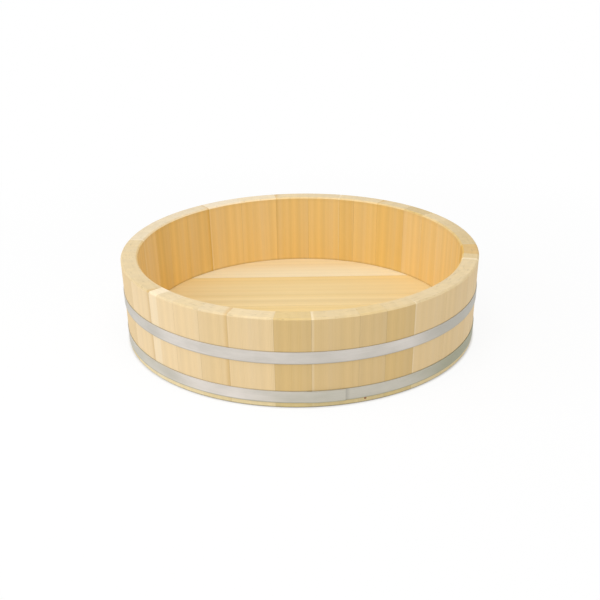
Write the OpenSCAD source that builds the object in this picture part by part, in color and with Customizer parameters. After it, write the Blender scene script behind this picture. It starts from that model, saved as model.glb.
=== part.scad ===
// Coopered rice tub: a ring of wooden staves round a boarded bottom, held by two flat metal hoops.
// The origin is the middle of the tub on the surface that it stands on, +Z is up and -Y is the front.

/* [Tub] */
// Outside diameter across the rim
rim_d = 720; // [600:1:840]
// Height from the foot to the rim
tub_h = 175; // [150:1:220]
// How far the wall narrows from the rim down to the foot, measured on the radius
taper = 5; // [2:0.5:12]
// Thickness of the wall
wall_t = 33; // [28:1:45]
// Chamfer along both edges of the rim
rim_chamfer = 3; // [1:0.5:6]
// Chamfer round the outside of the foot
foot_chamfer = 2; // [1:0.5:4]

/* [Staves] */
// Width of each stave along the rim, going round from the front left, all trimmed alike to close the ring
stave_w = [
    69, 57, 58, 83, 65, 85, 51, 60, 82, 88, 91, 82, 82, 79, 59, 63,
    81, 65, 39, 82, 83, 93, 92, 71, 69, 60, 72, 75, 75, 75, 75
]; // [39:1:100]
// Direction of the joint where the first stave starts, in degrees from the right-hand side
first_joint = -140; // [-180:1:180]

/* [Stave pegs] */
// Diameter of a bamboo peg between two staves
peg_d = 6; // [4:0.5:10]
// Length of a peg
peg_l = 30; // [20:1:34]
// Height of the lower peg in each joint
low_peg_z = 50; // [40:1:70]
// Depth of the upper peg in each joint below the rim
high_peg_drop = 45; // [30:1:60]
// How much higher both pegs sit in every second joint
peg_stagger = 12; // [0:1:20]
// Clearance all round a peg or dowel in its hole
peg_gap = 0.05; // [0.02:0.01:0.2]
// Room left at each end of a peg or dowel
peg_end_gap = 0.5; // [0.2:0.1:2]

/* [Bottom] */
// Height of the underside of the bottom above the foot
bottom_rise = 6; // [4:0.5:12]
// Thickness of the bottom
bottom_t = 16; // [12:0.5:24]
// Depth of the groove in the staves that the bottom sits in
groove_depth = 6; // [3:0.5:10]
// Clearance above and round the bottom in its groove
groove_gap = 0.2; // [0.1:0.05:0.6]
// Width of each bottom board, from the back to the front, all trimmed alike to fill the ring
board_w = [120, 163, 150, 120, 97]; // [90:1:180]

/* [Bottom dowels] */
// Diameter of a bamboo dowel between two boards
dowel_d = 5; // [3:0.5:8]
// Length of a dowel
dowel_l = 40; // [20:1:60]
// Number of dowels in each joint between boards
dowel_count = 3; // [2:1:4]
// Distance between neighbouring dowels
dowel_pitch = 110; // [60:1:120]

/* [Hoops] */
// Width of a hoop band
hoop_w = 23; // [15:0.5:35]
// Thickness of a hoop band
hoop_t = 1.2; // [0.8:0.1:2]
// Height of the lower edge of the lower hoop
lower_hoop_z = 10.5; // [9:0.5:25]
// Depth of the upper edge of the upper hoop below the rim
upper_hoop_drop = 64; // [40:0.5:75]
// Clearance between a hoop and the staves
hoop_gap = 0.1; // [0.05:0.05:0.3]
// Length over which the two ends of a hoop overlap
lap_l = 60; // [30:1:90]
// Direction of the lower hoop's outer end, in degrees from the right-hand side
lower_lap_at = -77.5; // [-180:0.5:180]
// Direction of the upper hoop's outer end, in degrees from the right-hand side
upper_lap_at = 96; // [-180:0.5:180]

/* [Hoop nails] */
// Number of nails that keep the lower hoop from slipping down
nail_count = 3; // [2:1:4]
// Direction of the first nail, in degrees from the right-hand side
first_nail = -71.5; // [-180:0.5:180]
// Diameter of a nail's head
nail_head_d = 4.4; // [3:0.1:6]
// Thickness of a nail's head
nail_head_t = 1; // [0.6:0.1:2]
// Diameter of a nail's shank
nail_d = 2; // [1.2:0.1:2.8]
// Length of a nail's shank
nail_l = 16; // [10:1:20]
// Clearance round a nail's shank, and between its head and the hoop
nail_gap = 0.1; // [0.05:0.05:0.3]

/* [Hidden] */
// Every round face is drawn with this many steps
$fn = 180;
// Extra reach of a cutting shape past the face that it cuts
cut_over = 1;
// Radius of the rim and slope of the wall
rim_r = rim_d / 2;
wall_angle = atan(taper / tub_h);
// Height of the groove and radius of its floor
groove_z = bottom_rise;
groove_h = bottom_t + groove_gap;
groove_r = inner_r(groove_z) + groove_depth;
// Radius and depth of the bottom from back to front
bottom_r = groove_r - groove_gap;
bottom_d = 2 * bottom_r;
// Height of the lower edge of the upper hoop
upper_hoop_z = tub_h - upper_hoop_drop - hoop_w;
// Height of the nails, whose heads stop just under the lower hoop
nail_z = lower_hoop_z - nail_gap - nail_head_d / 2;
// Wood tones that take turns round the ring, and the tones of the other pieces
stave_tones = ["#E6CD9D", "#DDC08B", "#E9D3A8", "#D9BA84"];
bottom_tone = "#EFD09A";
hoop_tone = "#C8C4B9";
bamboo_tone = "#D8BC7A";
nail_tone = "#8C5A34";
// Names of the nodes
stave_names = [for (i = [1 : len(stave_w)]) str("stave_", i < 10 ? "0" : "", i)];
board_names = [for (i = [1 : len(board_w)]) str("bottom_board_", i)];

// Sum of the first n values of a list
function sum_of(list, n) = n <= 0 ? 0 : list[n - 1] + sum_of(list, n - 1);

// Radius of the outside, the inside and the middle of the wall at a height
function outer_r(z) = rim_r - taper * (1 - z / tub_h);
function inner_r(z) = outer_r(z) - wall_t;
function middle_r(z) = outer_r(z) - wall_t / 2;

// Direction of the joint before stave i
function joint_at(i) = first_joint + 360 * sum_of(stave_w, i) / sum_of(stave_w, len(stave_w));

// Heights of the two pegs in joint j, counted round past the last joint to the first again
function peg_heights_at(j) = [
    for (z = [low_peg_z, tub_h - high_peg_drop])
        z + peg_stagger * ((j % len(stave_w)) % 2)
];

// Front-to-back place of the joint behind board i
function board_edge(i) = bottom_r - bottom_d * sum_of(board_w, i) / sum_of(board_w, len(board_w));

// Section of the wall: tapered, chamfered at the rim and foot, grooved for the bottom
module wall_section() {
    rim_low = tub_h - rim_chamfer;
    groove_top = groove_z + groove_h;
    polygon([
        [inner_r(0), 0],
        [outer_r(0) - foot_chamfer, 0],
        [outer_r(foot_chamfer), foot_chamfer],
        [outer_r(rim_low), rim_low],
        [outer_r(tub_h) - rim_chamfer, tub_h],
        [inner_r(tub_h) + rim_chamfer, tub_h],
        [inner_r(rim_low), rim_low],
        [inner_r(groove_top), groove_top],
        [groove_r, groove_top],
        [groove_r, groove_z],
        [inner_r(groove_z), groove_z]
    ]);
}

// The two pegs of joint j, or their holes, with room all round and at each end
module pegs_at(j, room = 0, end_room = 0) {
    rotate([0, 0, joint_at(j)])
        for (z = peg_heights_at(j))
            translate([middle_r(z), 0, z])
                rotate([90, 0, 0])
                    cylinder(d = peg_d + 2 * room, h = peg_l + 2 * end_room, center = true);
}

// Carries a shape to each nail's place, with +X pointing out of the wall from its face
module at_each_nail() {
    for (k = [0 : nail_count - 1])
        rotate([0, 0, first_nail + 360 * k / nail_count])
            translate([outer_r(nail_z), 0, nail_z])
                rotate([0, wall_angle, 0])
                    children();
}

// One nail shank, or its hole, running into the wall
module nail_shank(room = 0) {
    rotate([0, -90, 0])
        translate([0, 0, -room])
            cylinder(d = nail_d + 2 * room, h = nail_l + 2 * room);
}

// Stave i of the ring
module stave(i) {
    color(stave_tones[i % len(stave_tones)])
        difference() {
            rotate([0, 0, joint_at(i)])
                rotate_extrude(angle = joint_at(i + 1) - joint_at(i))
                    wall_section();
            for (j = [i, i + 1])
                pegs_at(j, peg_gap, peg_end_gap);
            at_each_nail()
                nail_shank(nail_gap);
        }
}

// Every peg in the joints between the staves
module stave_pegs() {
    color(bamboo_tone)
        for (j = [0 : len(stave_w) - 1])
            pegs_at(j);
}

// The dowels of the joint behind board i, or their holes
module dowels_at(i, room = 0, end_room = 0) {
    for (k = [0 : dowel_count - 1])
        translate([
            (k - (dowel_count - 1) / 2) * dowel_pitch,
            board_edge(i),
            bottom_rise + bottom_t / 2
        ])
            rotate([90, 0, 0])
                cylinder(d = dowel_d + 2 * room, h = dowel_l + 2 * end_room, center = true);
}

// Board i of the bottom, counted from the back
module bottom_board(i) {
    color(bottom_tone)
        difference() {
            intersection() {
                translate([0, 0, bottom_rise])
                    cylinder(r = bottom_r, h = bottom_t);
                translate([-bottom_r, board_edge(i + 1), bottom_rise - cut_over])
                    cube([bottom_d, board_edge(i) - board_edge(i + 1), bottom_t + 2 * cut_over]);
            }
            for (j = [i, i + 1])
                if (j > 0 && j < len(board_w))
                    dowels_at(j, peg_gap, peg_end_gap);
        }
}

// Every dowel in the joints between the bottom boards
module bottom_dowels() {
    color(bamboo_tone)
        for (j = [1 : len(board_w) - 1])
            dowels_at(j);
}

// Solid plug that fills a hoop out to a distance from the staves
module hoop_plug(z, reach) {
    translate([0, 0, z])
        cylinder(r1 = outer_r(z) + reach, r2 = outer_r(z + hoop_w) + reach, h = hoop_w);
}

// Plain band of a hoop, begun opposite its lap
module hoop_band(z) {
    near = hoop_gap;
    far = hoop_gap + hoop_t;
    rotate([0, 0, 180])
        rotate_extrude()
            polygon([
                [outer_r(z) + near, z],
                [outer_r(z) + far, z],
                [outer_r(z + hoop_w) + far, z + hoop_w],
                [outer_r(z + hoop_w) + near, z + hoop_w]
            ]);
}

// Outer end of a hoop: it stands off by one thickness where it stops, and runs down to nothing behind
module hoop_end(z, lap_angle) {
    shift = hoop_t / sin(lap_angle);
    reach = hoop_gap + hoop_t;
    intersection() {
        difference() {
            translate([0, shift, 0])
                hoop_plug(z, reach);
            hoop_plug(z, reach - hoop_t / 2);
        }
        translate([0, 0, z - cut_over])
            rotate_extrude(angle = lap_angle)
                square([rim_d, hoop_w + 2 * cut_over]);
    }
}

// A flat metal band round the staves, with its ends lapped
module hoop(z, end_at) {
    lap_angle = lap_l / outer_r(z) * 180 / PI;
    color(hoop_tone)
        rotate([0, 0, end_at - lap_angle])
            union() {
                hoop_band(z);
                hoop_end(z, lap_angle);
            }
}

module upper_hoop() {
    hoop(upper_hoop_z, upper_lap_at);
}

module lower_hoop() {
    hoop(lower_hoop_z, lower_lap_at);
}

// Nails under the lower hoop, each a round head on a plain shank
module hoop_nails() {
    color(nail_tone)
        at_each_nail()
            union() {
                nail_shank();
                rotate([0, 90, 0])
                    cylinder(d = nail_head_d, h = nail_head_t);
            }
}

for (i = [0 : len(stave_w) - 1])
    stave(i);
for (i = [0 : len(board_w) - 1])
    bottom_board(i);
upper_hoop();
lower_hoop();
stave_pegs();
bottom_dowels();
hoop_nails();
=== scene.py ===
"""Dress the coopered sushi rice tub: staves, bottom boards, hoops, pegs and nails."""

import logging
import math
import random
from dataclasses import dataclass
from enum import Enum
from typing import Callable, Union

import bmesh
import bpy
import numpy as np
from mathutils import Matrix, Vector


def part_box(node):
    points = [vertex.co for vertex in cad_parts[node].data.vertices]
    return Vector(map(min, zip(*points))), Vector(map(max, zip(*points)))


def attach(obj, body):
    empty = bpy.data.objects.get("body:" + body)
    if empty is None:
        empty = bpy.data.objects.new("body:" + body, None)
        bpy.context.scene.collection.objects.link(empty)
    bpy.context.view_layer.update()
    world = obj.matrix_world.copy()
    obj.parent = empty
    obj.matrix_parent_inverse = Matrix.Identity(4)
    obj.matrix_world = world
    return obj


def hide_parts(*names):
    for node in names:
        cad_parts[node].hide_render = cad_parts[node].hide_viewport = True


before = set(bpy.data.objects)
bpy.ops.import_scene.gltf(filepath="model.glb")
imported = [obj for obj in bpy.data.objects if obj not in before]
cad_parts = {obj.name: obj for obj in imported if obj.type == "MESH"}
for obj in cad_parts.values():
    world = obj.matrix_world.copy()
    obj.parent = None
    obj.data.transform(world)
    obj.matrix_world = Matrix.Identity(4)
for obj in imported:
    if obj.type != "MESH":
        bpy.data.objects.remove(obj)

log = logging.getLogger("rice_tub")

Piece = bpy.types.Object
Material = bpy.types.Material
Socket = bpy.types.NodeSocket
Colour = tuple[float, float, float, float]
Feed = Union[Socket, float, tuple, Vector]
Number = Union[float, np.ndarray]

BODY = "root"
UP = Vector((0.0, 0.0, 1.0))
ACROSS = Vector((1.0, 0.0, 0.0))
BACKWARDS = Vector((0.0, 1.0, 0.0))
MIDDLE = Vector((0.0, 0.0, 0.0))

# Distance within which a point lies on a face, and within which two points are one, in metres
HAIR = 0.0002
TOUCHING = 1e-6

# A distance beyond every part of the tub, in metres
FAR_OFF = 1.0

# Angles between two faces from which their edge is eased, and from which it shades sharp
EASED_FROM = math.radians(25.0)
SHARP_FROM = math.radians(35.0)

# Steps round a drilled hole and round a nail
DRILL_STEPS = 24

# Numbers of the colour sockets of a Mix node
MIX_FIRST = 6
MIX_SECOND = 7
MIX_RESULT = 2


# Bench tools: small helpers that place, select, shape and finish a mesh

def facing(angle: float) -> Vector:
    """Give the level direction at an angle round the tub."""
    return Vector((math.cos(angle), math.sin(angle), 0.0))


def half_turn(angle: Number) -> Number:
    """Bring an angle to within half a turn of zero."""
    return (angle + math.pi) % (2.0 * math.pi) - math.pi


def take_up(*pieces: Piece) -> None:
    """Make these pieces the only selected objects, the first of them active.

    Args:
        *pieces: The pieces.
    """
    bpy.ops.object.select_all(action="DESELECT")
    for piece in pieces:
        piece.select_set(True)
    bpy.context.view_layer.objects.active = pieces[0]


def lay_out(add: Callable[..., set], **sizes: object) -> Piece:
    """Add a primitive with nothing else selected.

    Args:
        add: The operator that adds it.
        **sizes: Its sizes and its place.

    Returns:
        The new object.
    """
    bpy.ops.object.select_all(action="DESELECT")
    add(**sizes)
    return bpy.context.object


def join_up(pieces: list[Piece]) -> Piece:
    """Join some pieces into one.

    Args:
        pieces: The pieces.

    Returns:
        The first of them, which then holds them all.
    """
    take_up(*pieces)
    bpy.ops.object.join()
    return bpy.context.object


def open_mesh(piece: Piece) -> None:
    """Go into edit mode on one piece, with all of its mesh selected.

    Args:
        piece: The piece.
    """
    take_up(piece)
    bpy.ops.object.mode_set(mode="EDIT")
    bpy.ops.mesh.select_all(action="SELECT")


def close_mesh() -> None:
    """Leave edit mode."""
    bpy.ops.object.mode_set(mode="OBJECT")


def close_up() -> None:
    """Merge the doubled points of the open mesh, turn its faces outwards and leave edit mode."""
    bpy.ops.mesh.select_all(action="SELECT")
    bpy.ops.mesh.remove_doubles(threshold=TOUCHING)
    bpy.ops.mesh.normals_make_consistent(inside=False)
    close_mesh()


class Element(Enum):
    """The kind of mesh element that a selection is made of."""

    POINT = "VERT"
    FACE = "FACE"


def pick(piece: Piece, kind: Element, test: Callable[[Vector], bool]) -> None:
    """Select, in edit mode, only the points or faces whose middle passes a test.

    Args:
        piece: The piece in edit mode.
        kind: Points or faces.
        test: Says whether a middle is wanted.
    """
    bpy.ops.mesh.select_mode(type=kind.value)
    bpy.ops.mesh.select_all(action="DESELECT")
    shape = bmesh.from_edit_mesh(piece.data)
    if kind is Element.POINT:
        for point in shape.verts:
            point.select_set(test(point.co))
    else:
        for face in shape.faces:
            face.select_set(test(face.calc_center_median()))
    shape.select_flush_mode()
    bmesh.update_edit_mesh(piece.data)


def work_in(piece: Piece, kind: str, **settings: object) -> None:
    """Add a modifier to a piece, set it and apply it.

    Args:
        piece: The piece to change.
        kind: The modifier's type.
        **settings: The modifier's own settings.
    """
    take_up(piece)
    modifier = piece.modifiers.new(kind.lower(), kind)
    for name, value in settings.items():
        setattr(modifier, name, value)
    bpy.ops.object.modifier_apply(modifier=modifier.name)


def ease_edges(piece: Piece, width: float) -> None:
    """Round every sharp edge of a piece by a width in metres."""
    work_in(piece, "BEVEL", width=width, segments=2, limit_method="ANGLE", angle_limit=EASED_FROM)


def smooth(piece: Piece) -> None:
    """Shade a piece smooth round its curves and flat on its broad faces.

    Args:
        piece: The piece.
    """
    take_up(piece)
    bpy.ops.object.shade_smooth_by_angle(angle=SHARP_FROM)
    work_in(piece, "WEIGHTED_NORMAL", mode="FACE_AREA", keep_sharp=True)


def set_place(piece: Piece) -> None:
    """Move a piece's place, turn and scale from its object into its mesh."""
    take_up(piece)
    bpy.ops.object.transform_apply(location=True, rotation=True, scale=True)


def copy_of(piece: Piece, name: str) -> Piece:
    """Copy a piece with a mesh of its own.

    Args:
        piece: The piece to copy.
        name: Name of the copy.

    Returns:
        The copy, in the scene.
    """
    copy = piece.copy()
    copy.data = piece.data.copy()
    copy.name = name
    bpy.context.scene.collection.objects.link(copy)
    return copy


def points_of(piece: Piece) -> np.ndarray:
    """Read a mesh's points.

    Args:
        piece: The mesh object.

    Returns:
        One row of x, y, z for each point, in metres.
    """
    points = np.empty(len(piece.data.vertices) * 3)
    piece.data.vertices.foreach_get("co", points)
    return points.reshape(-1, 3)


def write_on(piece: Piece, name: str, values: np.ndarray) -> None:
    """Keep a number or a vector for each point of a mesh, for its finish to read.

    Args:
        piece: The mesh object.
        name: Name of the attribute.
        values: One number, or one row of three, for each point.
    """
    is_vector = values.ndim == 2
    kind = "FLOAT_VECTOR" if is_vector else "FLOAT"
    attribute = piece.data.attributes.new(name, kind, "POINT")
    attribute.data.foreach_set("vector" if is_vector else "value", values.astype(np.float32).ravel())


@dataclass(frozen=True)
class Hole:
    """A round hole to drill.

    Attributes:
        middle: Middle of the hole.
        along: Direction that it runs in.
        diameter: Its diameter, in metres.
        length: Its length, in metres.
    """

    middle: Vector
    along: Vector
    diameter: float
    length: float

    def shape_bit(self) -> Piece:
        """Shape the round bit that cuts the hole.

        Returns:
            The bit, in its place.
        """
        return lay_out(
            bpy.ops.mesh.primitive_cylinder_add,
            vertices=DRILL_STEPS,
            radius=self.diameter / 2.0,
            depth=self.length,
            location=self.middle,
            rotation=self.along.to_track_quat("Z", "Y").to_euler(),
        )


def drill(piece: Piece, holes: list[Hole]) -> None:
    """Cut round holes in a piece.

    Args:
        piece: The piece to drill.
        holes: The holes, which may run past its faces.
    """
    bit = join_up([hole.shape_bit() for hole in holes])
    work_in(piece, "BOOLEAN", operation="DIFFERENCE", solver="EXACT", object=bit)
    bpy.data.objects.remove(bit)


def hand_over(piece: Piece, slot: str, finish: Material, *nodes: str) -> None:
    """Give a finished piece its finish and its place on the body, and hide the solids that it stands for.

    Args:
        piece: The finished piece.
        slot: The record's material slot; not used.
        finish: The material.
        *nodes: The solids that it replaces.
    """
    piece.data.materials.clear()
    piece.data.materials.append(finish)
    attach(piece, BODY)
    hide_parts(*nodes)
    log.info("%s: %d faces", piece.name, len(piece.data.polygons))


# What finishes are made of

@dataclass(frozen=True)
class Clouds:
    """A noise in space, about 0.5 on average.

    Attributes:
        scale: Clouds to the metre along each axis.
        detail: How many finer layers it has.
        roughness: How strong the finer layers are.
    """

    scale: tuple[float, float, float]
    detail: float = 2.0
    roughness: float = 0.5


@dataclass(frozen=True)
class Waves:
    """A noise along one distance, about 0.5 on average.

    Attributes:
        scale: Waves to the metre.
        detail: How many finer layers it has.
    """

    scale: float
    detail: float


@dataclass(frozen=True)
class Line:
    """A thin line beside an edge.

    Attributes:
        full: Distance from the edge up to which it is full, in metres.
        gone: Distance from which it is gone, in metres.
        show: How strongly it shows where it is full.
    """

    full: float
    gone: float
    show: float


class Graph:
    """The nodes of one material, or of the sky, added and joined step by step."""

    def __init__(self, owner: Union[Material, bpy.types.World]) -> None:
        """Start without any node.

        Args:
            owner: The material or the sky that the nodes belong to.
        """
        owner.use_nodes = True
        self.owner = owner
        self.tree = owner.node_tree
        self.tree.nodes.clear()

    def feed(self, socket: Socket, value: Feed) -> None:
        """Join a socket to another, or set it to a constant.

        Args:
            socket: The socket.
            value: The other socket, or the constant.
        """
        if isinstance(value, Socket):
            self.tree.links.new(value, socket)
        else:
            socket.default_value = value

    def node(self, kind: str, inputs: dict[Union[int, str], Feed], **settings: object) -> bpy.types.Node:
        """Add a node and feed it.

        Args:
            kind: The node's type.
            inputs: What goes into its sockets, by their number or name.
            **settings: The node's own settings.

        Returns:
            The node.
        """
        node = self.tree.nodes.new(kind)
        for name, value in settings.items():
            setattr(node, name, value)
        for name, value in inputs.items():
            self.feed(node.inputs[name], value)
        return node

    def place(self) -> Socket:
        """Give the place of the surface, in the object's own coordinates."""
        return self.node("ShaderNodeTexCoord", {}).outputs["Object"]

    def kept(self, name: str, output: str = "Fac") -> Socket:
        """Read what the mesh keeps for each point under a name."""
        return self.node("ShaderNodeAttribute", {}, attribute_name=name).outputs[output]

    def math(self, operation: str, *values: Feed) -> Socket:
        """Apply one arithmetic operation to some values."""
        return self.node("ShaderNodeMath", dict(enumerate(values)), operation=operation).outputs[0]

    def product(self, first: Feed, *others: Feed) -> Feed:
        """Multiply some values.

        Args:
            first: The first value.
            *others: The other values.

        Returns:
            Their product.
        """
        result = first
        for value in others:
            result = self.math("MULTIPLY", result, value)
        return result

    def between(self, share: Socket, first: float, second: float) -> Socket:
        """Pass from one value to another as a share rises from 0 to 1."""
        return self.math("MULTIPLY_ADD", share, second - first, first)

    def spread(self, noise: Socket, reach: float, middle: float = 0.0) -> Socket:
        """Turn noise about 0.5 into a change of a given reach about a middle value."""
        return self.math("MULTIPLY_ADD", noise, 2.0 * reach, middle - reach)

    def swayed(self, noise: Socket, reach: Feed) -> Socket:
        """Turn noise about 0.5 into a factor about 1 of a given reach."""
        return self.math("MULTIPLY_ADD", self.spread(noise, 1.0), reach, 1.0)

    def scaled(self, place: Socket, scale: tuple[float, float, float]) -> Socket:
        """Stretch a place by a factor along each axis."""
        return self.node("ShaderNodeVectorMath", {0: place, 1: scale}, operation="MULTIPLY").outputs[0]

    def length(self, place: Socket) -> Socket:
        """Measure how long a vector is."""
        return self.node("ShaderNodeVectorMath", {0: place}, operation="LENGTH").outputs["Value"]

    def towards(self, place: Socket, direction: Vector) -> Socket:
        """Measure how far a place lies in a direction."""
        node = self.node("ShaderNodeVectorMath", {0: place, 1: direction}, operation="DOT_PRODUCT")
        return node.outputs["Value"]

    def nearest(self, height: Socket, levels: tuple[float, ...]) -> Feed:
        """Measure how far a height is from the nearest of some levels.

        Args:
            height: The height.
            levels: The levels, in metres.

        Returns:
            The distance.
        """
        nearest: Feed = FAR_OFF
        for level in levels:
            gap = self.math("ABSOLUTE", self.math("SUBTRACT", height, level))
            nearest = self.math("MINIMUM", gap, nearest)
        return nearest

    def noise(self, place: Socket, clouds: Clouds) -> Socket:
        """Add a noise in space.

        Args:
            place: Where to read it.
            clouds: Its scale and fineness.

        Returns:
            The socket with the noise.
        """
        inputs = {
            "Vector": self.scaled(place, clouds.scale),
            "Scale": 1.0,
            "Detail": clouds.detail,
            "Roughness": clouds.roughness,
        }
        return self.node("ShaderNodeTexNoise", inputs).outputs[0]

    def noise_along(self, distance: Socket, waves: Waves) -> Socket:
        """Add a noise that varies with one distance only."""
        inputs = {"W": self.product(distance, waves.scale), "Scale": 1.0, "Detail": waves.detail}
        return self.node("ShaderNodeTexNoise", inputs, noise_dimensions="1D").outputs[0]

    def step(self, value: Feed, low: float, high: float, to_low: float = 0.0, to_high: float = 1.0) -> Socket:
        """Pass smoothly from one value to another as a number crosses a range.

        Args:
            value: The number.
            low: Where the change starts.
            high: Where the change ends.
            to_low: Value before the change.
            to_high: Value after the change.

        Returns:
            The socket with the result.
        """
        inputs = dict(enumerate((value, low, high, to_low, to_high)))
        return self.node("ShaderNodeMapRange", inputs, interpolation_type="SMOOTHSTEP").outputs[0]

    def beside(self, height: Socket, levels: tuple[float, ...], line: Line) -> Socket:
        """Draw a thin line beside some levels."""
        return self.step(self.nearest(height, levels), line.full, line.gone, line.show, 0.0)

    def mix(self, share: Feed, first: Feed, second: Feed) -> Socket:
        """Mix a share of a second colour into a first one."""
        inputs = {0: share, MIX_FIRST: first, MIX_SECOND: second}
        return self.node("ShaderNodeMix", inputs, data_type="RGBA").outputs[MIX_RESULT]

    def toned(self, colour: Feed, light: Feed, strength: Feed) -> Socket:
        """Multiply a colour's lightness and its saturation."""
        inputs = {"Color": colour, "Value": light, "Saturation": strength}
        return self.node("ShaderNodeHueSaturation", inputs).outputs[0]

    def bump(self, height: Socket, distance: float, strength: float) -> Socket:
        """Turn heights from 0 to 1 into slopes, for a full step of a given distance."""
        inputs = {"Strength": strength, "Distance": distance, "Height": height}
        return self.node("ShaderNodeBump", inputs).outputs[0]

    def end_in(self, shader: bpy.types.Node, output: str = "ShaderNodeOutputMaterial") -> None:
        """Join the last shader to the output."""
        self.node(output, {0: shader.outputs[0]})

    def surface(self, **inputs: Feed) -> Material:
        """End the material in one plain shader.

        Args:
            **inputs: The shader's inputs, with underscores for spaces.

        Returns:
            The finished material.
        """
        named = {name.replace("_", " "): value for name, value in inputs.items()}
        self.end_in(self.node("ShaderNodeBsdfPrincipled", named))
        return self.owner


# Finishes

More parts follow.
